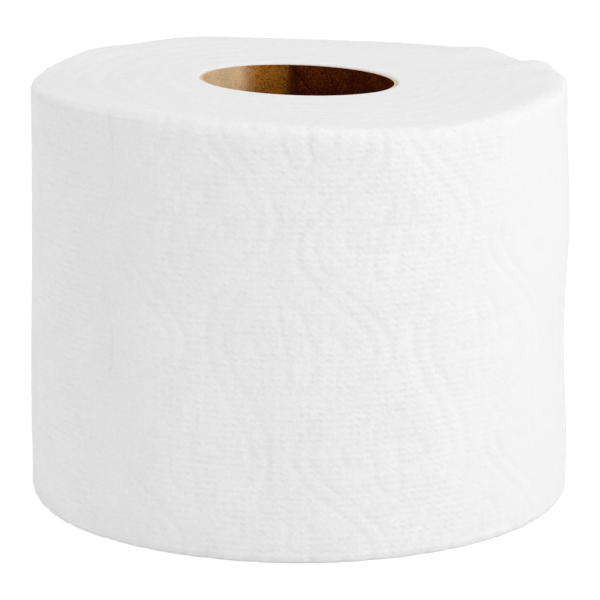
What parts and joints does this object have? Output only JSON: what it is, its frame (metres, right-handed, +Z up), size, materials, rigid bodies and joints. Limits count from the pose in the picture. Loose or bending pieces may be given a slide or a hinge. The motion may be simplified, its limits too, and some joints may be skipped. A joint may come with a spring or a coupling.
{
  "type": "toilet paper roll",
  "caption": "Full toilet paper roll standing on its end: a long embossed tissue sheet wound on a spiral-wound cardboard core with an open bore.",
  "frame": {"origin": "centre of the lower end, on the axis of the core, on the surface that the roll stands on", "axes": "+Z up along the axis of the core, -Y towards the viewer of the picture, +X to the viewer's right"},
  "size_m": [0.1138, 0.1136, 0.089],
  "materials": {
    "tissue": "matte",
    "core_board": "matte"
  },
  "bodies": {
    "root": {"paper_roll": "tissue", "core": "core_board"}
  },
  "joints": []
}
